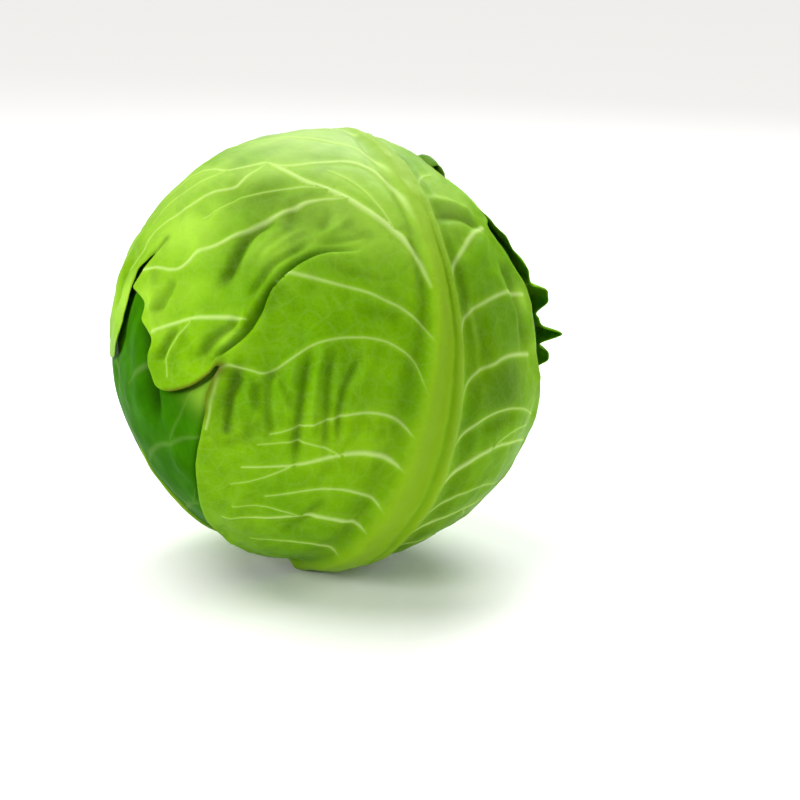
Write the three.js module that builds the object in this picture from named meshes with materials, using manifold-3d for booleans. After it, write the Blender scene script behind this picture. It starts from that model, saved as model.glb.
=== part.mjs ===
// A round green cabbage head, standing upright on its cut stem.
//
// The head is built leaf by leaf, as it grew. A conical core runs up from the cut stem, and every leaf is a
// thin cupped blade that starts at the core and wraps round everything inside it. Each leaf has a spherical
// band of its own, one inside the next, so neighbours lie on each other with a small clearance.
//
// Units are millimetres, +Z is up, and the origin is the centre of the stem's cut face. Azimuth 0 faces -Y
// and grows towards +X; elevation is above the horizontal through the middle of the head.

import * as THREE from "three";
import { mergeVertices } from "three/addons/utils/BufferGeometryUtils.js";
import Module from "manifold-3d";

// ---- Driving dimensions -------------------------------------------------------------------------------

const HEAD_RADIUS = 90; // outer face of the outermost leaf
const STAND_OFF = 1.8; // how far the stem's cut face stands below the round of the head
const FLAT_SIDE = { azimuth: 97, elevation: 49, depth: 5, spread: 34 }; // a flatter shoulder of the head

const WRAPPER_THICKNESS = 1.3; // blade of a loose outer leaf
const WRAPPER_CLEARANCE = 0.9; // air between two outer leaves
const MARGIN_CLEARANCE = 1.0; // degrees between a leaf's margin and what stands proud beside it
const FOOT_HALF_WIDTH = 16; // degrees, where a blade leaves the stem
const HEART_LEAVES = 9; // crinkled inner leaves, which fill the room between the wrappers and the bud
const HEART_CLEARANCE = 0.8;
const BUD_RADIUS = 17; // the unopened bud in the middle

const STEM_RADIUS = 17; // at the cut face
const STEM_CHAMFER = 1.2;
const CORE_WAIST = 18.5; // the core is widest just above the cut
const CORE_TIP_RISE = 4; // how far the core's tip reaches above the middle of the head
const CORE_CLEARANCE = 0.5; // between the core and each leaf's foot
const LEAF_TO_GROUND = 0.4; // no leaf reaches lower than this above the cut face

const RIB_WIDTH = 17; // midrib where it leaves the stem
const RIB_HEIGHT = 2.4;
const RIB_TIP_SHARE = 0.35; // width and height left at the rib's end
const RIB_ROOT = 4; // how deep a rib reaches before its blade's inner face trims it

const WRAPPER_FACETS = 26; // facets round the equator of an outer leaf's band
const HEART_FACETS = 16;
const CORE_FACETS = 24;
const CORE_TURN = 4; // degrees, so that the core's edges fall between the bands' edges
const WRAPPER_MARGIN_POINTS = 36;
const HEART_MARGIN_POINTS = 26;
const CUTTER_REACH = 1.7; // a trimming cone reaches this many head radii out

// The front leaf's margin in its own flat plane, anticlockwise from the foot: across and up, in degrees. Its
// left side has a deep notch, with a turned-out flap below it.
const FRONT_MARGIN = [
  [16, -112], [38, -94], [50, -66], [50, -38], [43, -20], [37, -10], [36, 2], [28, 13], [23, 20], [26, 30],
  [22, 44], [18, 60], [13, 78], [0, 92], [-26, 96], [-52, 90], [-80, 74], [-102, 50], [-114, 24], [-116, 6],
  [-108, -4], [-100, -3], [-95, 6], [-87, 17], [-77, 27], [-81, 18], [-78, 5], [-77, -8], [-77, -17],
  [-70, -21], [-56, -15], [-60, -26], [-64, -50], [-57, -78], [-38, -99], [-16, -112],
];

// The outer leaves, outermost first. azimuth is where the midrib crosses the equator and lean is how far its
// plane tilts to the leaf's right. The rest are angles in the leaf's own plane, seen from outside: centre is
// the elevation that they are counted from, base and tip are the two ends of the blade, left and right are
// its half widths, and widest is the height of its widest line. rib is where the raised midrib ends.
const WRAPPERS = [
  {
    name: "front_leaf",
    azimuth: 28.5, lean: 9, centre: 25, base: 112, rib: 66, margin: FRONT_MARGIN,
    colour: 0x86b82e,
  },
  {
    name: "back_leaf",
    azimuth: 176, lean: -8, centre: 20, base: 108, tip: 72, left: 84, right: 84, widest: -6, rib: 20,
    colour: 0x7cb02a,
    flare: { azimuth: 99, elevation: 8, height: 7.5, spread: 10 },
  },
  {
    name: "left_leaf",
    azimuth: -64, lean: 6, centre: 15, base: 103, tip: 80, left: 62, right: 60, widest: -4, rib: -32,
    colour: 0x5f9f14,
  },
  {
    name: "right_leaf",
    azimuth: 92, lean: 5, centre: 15, base: 103, tip: 78, left: 60, right: 60, widest: 0, rib: -52,
    colour: 0x76ab28,
  },
  {
    name: "back_left_leaf",
    azimuth: 228, lean: 4, centre: 15, base: 103, tip: 84, left: 80, right: 80, widest: 0,
    colour: 0x8fc03c,
  },
  {
    name: "inner_front_leaf",
    azimuth: 6, lean: -6, centre: 15, base: 103, tip: 84, left: 84, right: 84, widest: 0,
    colour: 0x9ccb4e,
  },
];

const GOLDEN_ANGLE = 137.5; // from each leaf of the heart to the next one in
const FIRST_HEART_AZIMUTH = 143.5;
const HEART_OUTLINE = {
  lean: 4, centre: 15, base: 103, tip: 122, left: 150, right: 150, widest: 0,
  marginPoints: HEART_MARGIN_POINTS,
};
const HEART_COLOURS = [0xa9d35c, 0xe9edb6]; // from the outermost heart leaf to the innermost
const CORE_COLOUR = 0xe4e8c4;
const BUD_COLOUR = 0xeef0c0;

// ---- Sizes that follow --------------------------------------------------------------------------------

const HEAD_CENTRE = new THREE.Vector3(0, 0, HEAD_RADIUS + STAND_OFF);
const WRAPPER_PITCH = WRAPPER_THICKNESS + WRAPPER_CLEARANCE;
const lastWrapperInside = HEAD_RADIUS - (WRAPPERS.length - 1) * WRAPPER_PITCH - WRAPPER_THICKNESS;
const facetSag = HEAD_RADIUS * (1 - Math.cos(Math.PI / WRAPPER_FACETS)) * 2;
const HEART_RADIUS = lastWrapperInside - facetSag - HEART_CLEARANCE;
const HEART_PITCH = (HEART_RADIUS - BUD_RADIUS) / HEART_LEAVES;
const HEART_THICKNESS = HEART_PITCH - HEART_CLEARANCE;

const rad = THREE.MathUtils.degToRad;

// ---- Directions ---------------------------------------------------------------------------------------

function direction(azimuth, elevation) {
  const a = rad(azimuth);
  const e = rad(elevation);
  return new THREE.Vector3(Math.sin(a) * Math.cos(e), -Math.cos(a) * Math.cos(e), Math.sin(e));
}

// A smooth hump over the head round one direction, 1 in the middle and fading out over spread degrees.
function hump(spot, towards) {
  const angle = THREE.MathUtils.radToDeg(towards.angleTo(direction(spot.azimuth, spot.elevation)));
  return Math.exp(-((angle / spot.spread) ** 2));
}

// The head's own shape, which every band shares so that the leaves stay nested: 1 is a plain ball.
function roundness(towards) {
  return 1 - (FLAT_SIDE.depth / HEAD_RADIUS) * hump(FLAT_SIDE, towards);
}

// The three axes of a leaf: out of its middle, up along its midrib, and to its right as seen from outside.
function leafFrame({ azimuth, lean, centre }) {
  const out0 = direction(azimuth, 0);
  const right0 = direction(azimuth + 90, 0);
  const upright = new THREE.Vector3(0, 0, 1);
  const turned = (from, other, angle) =>
    from.clone().multiplyScalar(Math.cos(rad(angle))).addScaledVector(other, Math.sin(rad(angle)));
  const up0 = turned(upright, right0, lean);
  return {
    out: turned(out0, up0, centre),
    up: turned(up0, out0, -centre),
    right: turned(right0, upright, -lean),
  };
}

// A point of a leaf's flat plane, in degrees from its centre, as a direction from the middle of the head.
function fromPlane(frame, x, y) {
  const reach = Math.hypot(x, y);
  if (reach < 1e-9) return frame.out.clone();
  const s = Math.sin(rad(reach)) / reach;
  return frame.out
    .clone()
    .multiplyScalar(Math.cos(rad(reach)))
    .addScaledVector(frame.right, x * s)
    .addScaledVector(frame.up, y * s);
}

// ---- Solids -------------------------------------------------------------------------------------------

const wasm = await Module();
wasm.setup();

function toManifold(geometry) {
  const bare = new THREE.BufferGeometry().setAttribute("position", geometry.getAttribute("position").clone());
  if (geometry.index) bare.setIndex(geometry.index.clone());
  const merged = mergeVertices(bare, 1e-4);
  return new wasm.Manifold(
    new wasm.Mesh({
      numProp: 3,
      vertProperties: new Float32Array(merged.attributes.position.array),
      triVerts: new Uint32Array(merged.index.array),
    }),
  );
}

function toGeometry(solid) {
  const { vertProperties, triVerts } = solid.getMesh();
  const geometry = new THREE.BufferGeometry();
  geometry.setAttribute("position", new THREE.BufferAttribute(new Float32Array(vertProperties), 3));
  geometry.setIndex(new THREE.BufferAttribute(new Uint32Array(triVerts), 1));
  geometry.computeVertexNormals();
  return geometry;
}

// The whole head's shape at one band radius. All bands share their directions, so their facets are parallel.
function ball(radius, facets, flare) {
  const geometry = new THREE.SphereGeometry(1, facets, facets / 2).rotateX(Math.PI / 2);
  const position = geometry.getAttribute("position");
  const point = new THREE.Vector3();
  for (let i = 0; i < position.count; i++) {
    point.fromBufferAttribute(position, i).normalize();
    const lift = flare ? flare.height * hump(flare, point) : 0;
    point.multiplyScalar(radius * roundness(point) + lift).add(HEAD_CENTRE);
    position.setXYZ(i, point.x, point.y, point.z);
  }
  return toManifold(geometry);
}

// The margin of a leaf in its flat plane, in degrees, anticlockwise from the foot.
function marginOf(leaf) {
  if (leaf.margin) return leaf.margin;
  const half = (leaf.marginPoints ?? WRAPPER_MARGIN_POINTS) / 2;
  const side = (width, sign) =>
    Array.from({ length: half }, (_, i) => {
      const turn = (Math.PI * i) / half; // 0 at the foot and PI at the tip
      const below = turn < Math.PI / 2;
      const y = leaf.widest - (below ? leaf.widest + leaf.base : leaf.tip - leaf.widest) * Math.cos(turn);
      const foot = below ? FOOT_HALF_WIDTH : 0;
      return [sign * (foot + (width - foot) * Math.sin(turn) ** 0.85), y];
    });
  return [...side(leaf.right, 1), [0, leaf.tip], ...side(leaf.left, -1).reverse()];
}

// A cone from the middle of the head out through a leaf's margin, or the given degrees outside it. What is
// inside the cone is that leaf's share of its band.
function marginCone(leaf, outside = 0) {
  const frame = leafFrame(leaf);
  const rings = 6;
  const reach = HEAD_RADIUS * CUTTER_REACH;
  const margin = marginOf(leaf).map(([x, y]) => {
    const grow = 1 + outside / Math.hypot(x, y);
    return [x * grow, y * grow];
  });
  const vertices = [HEAD_CENTRE.clone()];
  for (let ring = rings; ring > 0; ring--)
    for (const [x, y] of margin) {
      const towards = fromPlane(frame, (x * ring) / rings, (y * ring) / rings);
      vertices.push(towards.multiplyScalar(reach).add(HEAD_CENTRE));
    }
  vertices.push(frame.out.clone().multiplyScalar(reach).add(HEAD_CENTRE));
  const n = margin.length;
  const faces = [];
  for (let i = 0; i < n; i++) {
    const j = (i + 1) % n;
    faces.push(0, 1 + j, 1 + i);
    for (let ring = 0; ring < rings - 1; ring++) {
      const a = 1 + ring * n;
      const b = a + n;
      faces.push(a + i, a + j, b + i, a + j, b + j, b + i);
    }
    const last = 1 + (rings - 1) * n;
    faces.push(last + i, last + j, vertices.length - 1);
  }
  const geometry = new THREE.BufferGeometry().setFromPoints(vertices);
  geometry.setIndex(faces);
  return toManifold(geometry);
}

// The core's outline from its axis at the foot to its tip, standing clear of it by the given clearance.
function coreProfile(clearance) {
  const foot = clearance > 0 ? -1 : 0;
  const top = HEAD_CENTRE.z + CORE_TIP_RISE + clearance;
  const side = new THREE.CatmullRomCurve3([
    new THREE.Vector3(STEM_RADIUS, STEM_CHAMFER, 0),
    new THREE.Vector3(CORE_WAIST, 0.2 * top, 0),
    new THREE.Vector3(0.72 * CORE_WAIST, 0.55 * top, 0),
    new THREE.Vector3(0.34 * CORE_WAIST, 0.92 * top, 0),
  ]);
  const points = side.getPoints(9).map((p) => new THREE.Vector2(p.x + clearance, p.y));
  return [
    new THREE.Vector2(0, foot),
    new THREE.Vector2(STEM_RADIUS - STEM_CHAMFER + clearance, foot),
    ...points,
    new THREE.Vector2(0, top),
  ];
}

function core(clearance = 0) {
  const geometry = new THREE.LatheGeometry(coreProfile(clearance), CORE_FACETS, rad(CORE_TURN));
  return toManifold(geometry.rotateX(Math.PI / 2));
}

// The raised midrib, a tapering bead along the middle of a blade's outer face.
function midrib(leaf, radius) {
  const frame = leafFrame(leaf);
  const stations = 14;
  const from = -leaf.base - 6;
  const section = [[-0.5, -RIB_ROOT], [-0.5, -0.2], [-0.22, 0.9], [0.22, 0.9], [0.5, -0.2], [0.5, -RIB_ROOT]];
  const vertices = [];
  for (let i = 0; i <= stations; i++) {
    const share = i / stations;
    const y = from + (leaf.rib - from) * share;
    const taper = 1 - (1 - RIB_TIP_SHARE) * share;
    for (const [across, rise] of section) {
      const x = THREE.MathUtils.radToDeg((across * RIB_WIDTH * taper) / radius);
      const lift = rise > 0 ? rise * RIB_HEIGHT * taper : rise;
      const towards = fromPlane(frame, x, y);
      vertices.push(towards.multiplyScalar(radius * roundness(towards) + lift).add(HEAD_CENTRE));
    }
  }
  const n = section.length;
  const faces = [];
  for (let i = 0; i < stations; i++)
    for (let k = 0; k < n; k++) {
      const a = i * n + k;
      const b = i * n + ((k + 1) % n);
      faces.push(a, b, a + n, b, b + n, a + n);
    }
  for (let k = 1; k < n - 1; k++) {
    faces.push(0, k + 1, k);
    faces.push(stations * n, stations * n + k, stations * n + k + 1);
  }
  const geometry = new THREE.BufferGeometry().setFromPoints(vertices);
  geometry.setIndex(faces);
  return toManifold(geometry);
}

function addPiece(name, solid, colour, roughness) {
  const material = new THREE.MeshStandardMaterial({ color: colour, roughness, metalness: 0 });
  const mesh = new THREE.Mesh(toGeometry(solid), material);
  mesh.name = name;
  cabbage.add(mesh);
}

// ---- The head -----------------------------------------------------------------------------------------

const cabbage = new THREE.Group();
cabbage.name = "cabbage_head";
const roomForCore = core(CORE_CLEARANCE);
const BOX = 4 * HEAD_RADIUS;
const aboveGround = toManifold(
  new THREE.BoxGeometry(BOX, BOX, BOX).translate(0, 0, BOX / 2 + LEAF_TO_GROUND),
);

// A leaf's share of its band, with its raised rib. Where another leaf lies over it, nothing of it stands
// proud of its own band.
function leafBlade(leaf, radius, thickness, facets, coveredBy = []) {
  let body = ball(radius, facets, leaf.flare);
  if (leaf.rib !== undefined) body = body.add(midrib(leaf, radius));
  for (const over of coveredBy)
    body = body.subtract(marginCone(over, MARGIN_CLEARANCE).subtract(ball(radius, facets)));
  return body.subtract(ball(radius - thickness, facets, leaf.flare)).intersect(marginCone(leaf));
}

addPiece("core_stem", core(), CORE_COLOUR, 0.6);

WRAPPERS.forEach((leaf, i) => {
  const radius = HEAD_RADIUS - i * WRAPPER_PITCH;
  const blade = leafBlade(leaf, radius, WRAPPER_THICKNESS, WRAPPER_FACETS, WRAPPERS.slice(0, i));
  addPiece(leaf.name, blade.subtract(roomForCore).intersect(aboveGround), leaf.colour, 0.45);
});

const [outerColour, innerColour] = HEART_COLOURS.map((hex) => new THREE.Color(hex));
for (let i = 0; i < HEART_LEAVES; i++) {
  const leaf = { ...HEART_OUTLINE, azimuth: FIRST_HEART_AZIMUTH + i * GOLDEN_ANGLE };
  const radius = HEART_RADIUS - i * HEART_PITCH;
  const colour = outerColour.clone().lerp(innerColour, i / (HEART_LEAVES - 1));
  const solid = leafBlade(leaf, radius, HEART_THICKNESS, HEART_FACETS).subtract(roomForCore);
  addPiece("heart_leaf_" + String(i + 1).padStart(2, "0"), solid, colour, 0.5);
}

addPiece("heart_bud", ball(BUD_RADIUS, HEART_FACETS).subtract(roomForCore), BUD_COLOUR, 0.5);

export default cabbage;
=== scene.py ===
import math

import bpy
import numpy as np
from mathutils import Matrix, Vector, geometry, kdtree, noise


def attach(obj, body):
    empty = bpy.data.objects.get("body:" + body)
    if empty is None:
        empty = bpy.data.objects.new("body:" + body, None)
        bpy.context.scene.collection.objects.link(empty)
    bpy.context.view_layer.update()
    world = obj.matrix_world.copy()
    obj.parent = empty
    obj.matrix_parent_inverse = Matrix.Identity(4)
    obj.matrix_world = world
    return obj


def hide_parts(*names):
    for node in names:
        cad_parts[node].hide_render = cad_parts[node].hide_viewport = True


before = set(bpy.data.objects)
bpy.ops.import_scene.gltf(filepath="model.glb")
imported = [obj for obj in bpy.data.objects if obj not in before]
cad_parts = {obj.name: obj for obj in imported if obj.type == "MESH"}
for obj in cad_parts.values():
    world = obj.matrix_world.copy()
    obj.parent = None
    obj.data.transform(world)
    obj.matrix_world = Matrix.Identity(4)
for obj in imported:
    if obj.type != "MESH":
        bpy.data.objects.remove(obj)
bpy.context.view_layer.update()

# ---- Front leaf ----------------------------------------------------------------------------------------
# The outermost leaf of the head: one thin, waxy blade that wraps most of the front, the left shoulder and
# the top. It grows from the stem by a broad pale midrib, and its left side is folded over itself, with a
# turned-out flap below a deep notch.

MM = 0.001
HEAD_MIDDLE = np.array([0.0, 0.0, 91.8 * MM])
HEAD_RADIUS = 90.0  # millimetres, outer face of the front leaf
BAND = 2.2  # each leaf lies this far inside the one over it
STEM_RADIUS = 17.6
LOWEST = 0.6  # no leaf comes nearer to the table
DEGREE = HEAD_RADIUS * math.pi / 180  # millimetres of leaf to a degree of the head
VEIN_GIRTH = 0.72  # half width in degrees of a vein of weight 1
RIM_THICKNESS = 0.55  # a blade is thinnest at its margin,
BLADE_GAIN = 0.5  # gains this much towards its middle,
RIB_GAIN = 0.5  # and this much again along the midrib
WRAPPER_RIB_GAIN = 0.4
RIM_BULGE = 0.45  # how far the rim rounds out, as a share of the thickness
EDGE_STEP = 0.8  # points along a margin or vein, in steps of the sheet
ROW_SPACE, SHEET_SPACE = 0.35, 0.62  # least gap to the points already laid, in steps of the sheet


def unit(azimuth, elevation):
    a, e = math.radians(azimuth), math.radians(elevation)
    return np.array([math.sin(a) * math.cos(e), -math.cos(a) * math.cos(e), math.sin(e)])


def roundness(towards):
    """The head's own shape, 1 where it is a plain ball: one shoulder is flatter."""
    angle = np.degrees(np.arccos(np.clip(towards @ unit(97, 49), -1, 1)))
    return 1 - 5 / HEAD_RADIUS * np.exp(-((angle / 34) ** 2))


class LeafPlane:
    """A leaf spread flat. Its points are degrees across and up from its middle, seen from outside."""

    def __init__(self, azimuth, lean, centre):
        out, right, up = unit(azimuth, 0), unit(azimuth + 90, 0), np.array([0.0, 0.0, 1.0])
        c, s = math.cos(math.radians(lean)), math.sin(math.radians(lean))
        up, right = up * c + right * s, right * c - up * s
        c, s = math.cos(math.radians(centre)), math.sin(math.radians(centre))
        self.out, self.up, self.right = out * c + up * s, up * c - out * s, right

    def wrap(self, flat):
        flat = np.asarray(flat, float)
        reach = np.hypot(flat[:, 0], flat[:, 1]) + 1e-9
        turn = np.radians(reach)
        ahead = np.cos(turn)[:, None] * self.out
        x, y = flat[:, 0] / reach * np.sin(turn), flat[:, 1] / reach * np.sin(turn)
        return ahead + x[:, None] * self.right + y[:, None] * self.up

    def spread(self, towards):
        x, y, ahead = towards @ self.right, towards @ self.up, towards @ self.out
        across = np.hypot(x, y) + 1e-12
        reach = np.degrees(np.arctan2(across, ahead))
        return np.stack([x / across * reach, y / across * reach], 1)

    def foot(self, azimuth, half_turn=74, count=9):
        """The line where the blade joins the stem, from its right end round to its left."""
        sink = math.degrees(math.asin(STEM_RADIUS / (HEAD_RADIUS - 3)))
        turns = np.linspace(half_turn, -half_turn, count)
        return self.spread(np.array([unit(azimuth + t, sink - 90) for t in turns]))


def smooth_line(points, step, closed=False):
    """A smooth line through points, cut into even steps."""
    p = np.asarray(points, float)
    n = len(p)
    fine = []
    for i in range(n if closed else n - 1):
        a, b, c, d = (p[(i + k) % n] if closed else p[min(max(i + k, 0), n - 1)] for k in (-1, 0, 1, 2))
        t = np.linspace(0, 1, 16, endpoint=False)[:, None]
        fine.append(0.5 * (2 * b + (c - a) * t + (2 * a - 5 * b + 4 * c - d) * t**2
                           + (3 * b - a - 3 * c + d) * t**3))
    fine = np.vstack(fine + ([fine[0][:1]] if closed else [p[-1:]]))
    run = np.concatenate([[0], np.cumsum(np.linalg.norm(np.diff(fine, axis=0), axis=1))])
    count = max(int(round(run[-1] / step)), 2)
    at = np.linspace(0, run[-1], count + 1)
    even = np.stack([np.interp(at, run, fine[:, k]) for k in range(fine.shape[1])], 1)
    return even[:-1] if closed else even


def beside(points, line):
    """For each point: its distance from the line, its side (+1 left of the line), and how far along it is."""
    best = np.full(len(points), 1e9)
    side = np.ones(len(points))
    along = np.zeros(len(points))
    lengths = np.linalg.norm(np.diff(line, axis=0), axis=1)
    start = np.concatenate([[0], np.cumsum(lengths)])
    for i, length in enumerate(lengths):
        a, d = line[i], (line[i + 1] - line[i]) / max(length, 1e-9)
        to = points - a
        t = np.clip(to @ d, 0, length)
        off = to - t[:, None] * d
        gap = np.hypot(off[:, 0], off[:, 1])
        nearer = gap < best
        best[nearer] = gap[nearer]
        side[nearer] = np.sign(d[0] * to[nearer, 1] - d[1] * to[nearer, 0])
        along[nearer] = (start[i] + t[nearer]) / start[-1]
    return best, side, along


def inside(points, margin):
    """Which points lie inside a closed margin."""
    result = np.zeros(len(points), bool)
    x, y = points[:, 0], points[:, 1]
    for (x1, y1), (x2, y2) in zip(margin, np.roll(margin, -1, axis=0)):
        if y1 != y2:
            crosses = (y1 > y) != (y2 > y)
            result ^= crosses & (x < (x2 - x1) * (y - y1) / (y2 - y1) + x1)
    return result


def tree_of(points):
    tree = kdtree.KDTree(len(points))
    for i, (x, y) in enumerate(points):
        tree.insert((x, y, 0), i)
    tree.balance()
    return tree


def cut_blade(margin, lines, step):
    """The flat blade inside a margin as even triangles, with rows of points along its veins and folds."""
    edge = smooth_line(margin, step * EDGE_STEP, closed=True)
    rows = []
    for line, gap in lines:
        run = smooth_line(line, step * EDGE_STEP)
        ahead = np.gradient(run, axis=0)
        across = np.stack([-ahead[:, 1], ahead[:, 0]], 1) / np.linalg.norm(ahead, axis=1)[:, None]
        rows += [run + across * gap * k for k in (-1, 0, 1)]
    fixed = [edge]
    taken = tree_of(edge)
    for row in rows:
        keep = [i for i, (x, y) in enumerate(row) if taken.find((x, y, 0))[2] > step * ROW_SPACE]
        kept = row[keep]
        if len(kept) and len(kept[inside(kept, edge)]):
            fixed.append(kept[inside(kept, edge)])
            taken = tree_of(np.vstack(fixed))
    low, high = edge.min(0), edge.max(0)
    across, up = np.meshgrid(np.arange(low[0], high[0], step), np.arange(low[1], high[1], step * 0.866))
    across[1::2] += step / 2
    sheet = np.stack([across.ravel(), up.ravel()], 1)
    sheet = sheet[inside(sheet, edge)]
    free = np.array([taken.find((x, y, 0))[2] > step * SHEET_SPACE for x, y in sheet])
    points = np.vstack(fixed + [sheet[free]])
    border = [(i, (i + 1) % len(edge)) for i in range(len(edge))]
    verts, _, faces, *_ = geometry.delaunay_2d_cdt([Vector(p) for p in points], border, [], 1, 1e-5)
    flat = np.array([(v.x, v.y) for v in verts])
    triangles = np.array([f for f in faces if len(f) == 3])
    return flat, triangles


def plain_mesh(name, verts, faces):
    mesh = bpy.data.meshes.new(name)
    mesh.from_pydata([tuple(v) for v in verts], [], [tuple(int(i) for i in f) for f in faces])
    mesh.update()
    return mesh


def piece_of(name, mesh):
    piece = bpy.data.objects.new(name, mesh)
    bpy.context.scene.collection.objects.link(piece)
    return piece


def add_node(tree, kind, inputs=(), **settings):
    """A new node: its settings first, then the value or link of each socket."""
    made = tree.nodes.new(kind)
    for key, value in settings.items():
        setattr(made, key, value)
    for key, value in dict(inputs).items():
        socket = made.inputs[key]
        if isinstance(value, bpy.types.NodeSocket):
            tree.links.new(value, socket)
        elif socket.type == "RGBA":
            socket.default_value = (*value, 1)
        else:
            socket.default_value = value
    return made


def empty_tree(name, inputs):
    """A Geometry Nodes tree: itself, a way to add its nodes, and its named inputs' sockets."""
    tree = bpy.data.node_groups.new(name, "GeometryNodeTree")
    for way in ("INPUT", "OUTPUT"):
        tree.interface.new_socket("Geometry", in_out=way, socket_type="NodeSocketGeometry")
    for label, kind, value in inputs + [("Material", "Material", None)]:
        socket = tree.interface.new_socket(label, in_out="INPUT", socket_type="NodeSocket" + kind)
        if value is not None:
            socket.default_value = value

    def node(kind, inputs=(), output=0, **settings):
        return add_node(tree, kind, inputs, **settings).outputs[output]

    return tree, node, tree.nodes.new("NodeGroupInput").outputs


def close_tree(tree, node, shape, material):
    """Ends a tree: its copies are made real and get their material."""
    real = node("GeometryNodeRealizeInstances", {"Geometry": shape})
    coated = node("GeometryNodeSetMaterial", {"Geometry": real, "Material": material})
    tree.links.new(coated, tree.nodes.new("NodeGroupOutput").inputs["Geometry"])
    return tree


def vein_tree():
    """Raises veins on a flat blade: each pushes up a narrow ridge and draws a shallow trough round it."""
    tree, node, given = empty_tree("raise_veins", [
        ("Veins", "Object", None), ("Ridge Height", "Float", 0.5), ("Trough Depth", "Float", 0.9),
        ("Trough Width", "Float", 4.0)])

    def maths(operation, *values):
        return node("ShaderNodeMath", dict(enumerate(values)), operation=operation)

    def bell(x):
        return maths("POWER", math.e, maths("MULTIPLY", maths("MULTIPLY", x, x), -1.0))

    veins = node("GeometryNodeObjectInfo", {"Object": given["Veins"]}, output="Geometry")
    gap = node("GeometryNodeProximity", {0: veins}, output="Distance", target_element="EDGES")
    girth = node("GeometryNodeInputNamedAttribute", {"Name": "girth"}, data_type="FLOAT")
    nearest = node("GeometryNodeSampleNearest", {"Geometry": veins}, domain="POINT")
    local = node("GeometryNodeSampleIndex", {"Geometry": veins, "Value": girth, "Index": nearest},
                 data_type="FLOAT", domain="POINT")
    ratio = maths("DIVIDE", gap, local)
    ridge = maths("MULTIPLY", bell(ratio), given["Ridge Height"])
    trough = maths("MULTIPLY", bell(maths("DIVIDE", gap, given["Trough Width"])), given["Trough Depth"])
    weight = maths("MINIMUM", local, 1.0)
    lift = maths("SUBTRACT", maths("MULTIPLY", ridge, weight), maths("MULTIPLY", trough, weight))
    offset = node("ShaderNodeCombineXYZ", {"Z": lift})
    shape = node("GeometryNodeSetPosition", {"Geometry": given["Geometry"], "Offset": offset})
    for name, value in (("vein_gap", ratio), ("vein_girth", local)):
        shape = node("GeometryNodeStoreNamedAttribute", {"Geometry": shape, "Name": name, "Value": value},
                     data_type="FLOAT", domain="POINT")
    return close_tree(tree, node, shape, given["Material"])


RAISE_VEINS = vein_tree()


def run_nodes(piece, tree, values):
    """The plain mesh that a Geometry Nodes tree makes of a piece."""
    modifier = piece.modifiers.new(tree.name, "NODES")
    modifier.node_group = tree
    for item in tree.interface.items_tree:
        if item.in_out == "INPUT" and item.name in values:
            modifier[item.identifier] = values[item.name]
    bpy.context.view_layer.update()
    done = bpy.data.meshes.new_from_object(piece.evaluated_get(bpy.context.evaluated_depsgraph_get()))
    piece.modifiers.remove(modifier)
    return done


def column(mesh, name):
    data = mesh.attributes[name].data
    values = np.zeros(len(data))
    data.foreach_get("value", values)
    return values


def raise_veins(name, flat, triangles, veins, material, ridge, trough, trough_width):
    """Heights of the blade over its own band, and how near each point is to a vein, in vein half widths."""
    lines = [(smooth_line(line, 0.7), first, last) for line, first, last in veins]
    points, edges, girths = [], [], []
    for line, first, last in lines:
        edges += [(len(points) + i, len(points) + i + 1) for i in range(len(line) - 1)]
        points += [(x, y, 0) for x, y in line]
        swell = ease(np.linspace(0, 1, len(line)), -0.12, 0.2)
        girths += list(np.linspace(first, last, len(line)) * swell * VEIN_GIRTH)
    net = bpy.data.meshes.new(name + "_veins")
    net.from_pydata(points, edges, [])
    net.attributes.new("girth", "FLOAT", "POINT").data.foreach_set("value", girths)
    net_piece = piece_of(name + "_veins", net)
    blade = piece_of(name + "_flat", plain_mesh(name + "_flat", [(x, y, 0) for x, y in flat], triangles))
    values = {"Veins": net_piece, "Ridge Height": ridge, "Trough Depth": trough,
              "Trough Width": trough_width, "Material": material}
    done = run_nodes(blade, RAISE_VEINS, values)
    lift = np.array([v.co.z for v in done.vertices])
    result = lift, column(done, "vein_gap"), column(done, "vein_girth")
    for piece in (net_piece, blade):
        bpy.data.objects.remove(piece)
    return result


def hump(x, width):
    return np.exp(-((x / width) ** 2))


def ease(x, low, high):
    t = np.clip((x - low) / (high - low), 0, 1)
    return t * t * (3 - 2 * t)


def patches(flat, spots):
    """Soft round patches on a flat blade, each given as (across, up, size, strength)."""
    amount = np.zeros(len(flat))
    for x, y, size, strength in spots:
        amount = np.maximum(amount, strength * hump(np.hypot(flat[:, 0] - x, flat[:, 1] - y), size))
    return amount


def distance_to(line, points):
    """How far each point lies from the nearest of a line's points."""
    tree = tree_of(line)
    return np.array([tree.find((x, y, 0))[2] for x, y in points])


def soft_noise(points, scale, seed):
    """Smooth noise over flat points, about -1 to 1, with features of the given size in degrees."""
    return np.array([noise.noise(Vector((x / scale, y / scale, seed))) for x, y in points]) * 1.6


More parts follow.
